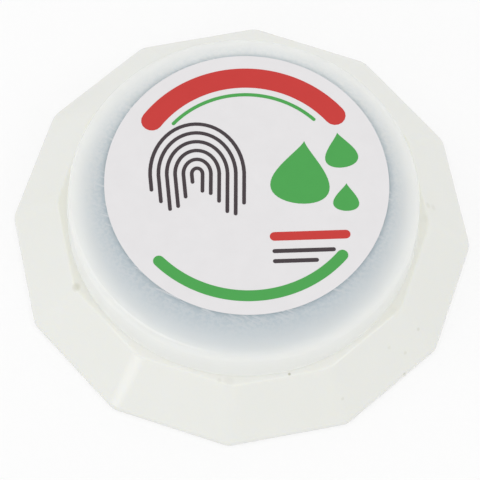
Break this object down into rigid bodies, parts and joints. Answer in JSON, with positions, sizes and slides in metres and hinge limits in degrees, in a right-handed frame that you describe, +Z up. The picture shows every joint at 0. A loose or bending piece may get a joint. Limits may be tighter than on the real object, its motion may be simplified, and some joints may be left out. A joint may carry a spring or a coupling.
{
  "type": "finger moistener",
  "caption": "Low faceted desk pot of moistening gel with a round frosted lid that pushes on over a neck and lifts off; a paper label covers the lid's flat top.",
  "frame": {"origin": "middle of the pot's underside, on the surface that it stands on", "axes": "+Z up along the pot's axis, the way the lid lifts; +Y and +X each pass through a corner of the skirt"},
  "size_m": [0.0648, 0.0648, 0.0152],
  "materials": {
    "pot_plastic": "satin cream-white moulded polypropylene",
    "gel": "wet pale blue moistening gel",
    "lid_plastic": "frosted translucent bluish-white polypropylene",
    "label_paper": "satin coated paper with a plain printed design"
  },
  "bodies": {
    "pot": {"pot": "pot_plastic", "gel": "gel"},
    "lid": {"lid": "lid_plastic", "label": "label_paper"}
  },
  "joints": [
    {"name": "lid_lift", "type": "slide", "parent": "pot", "child": "lid", "axis": [0, 0, 1], "range_m": [0, 0.03]}
  ]
}
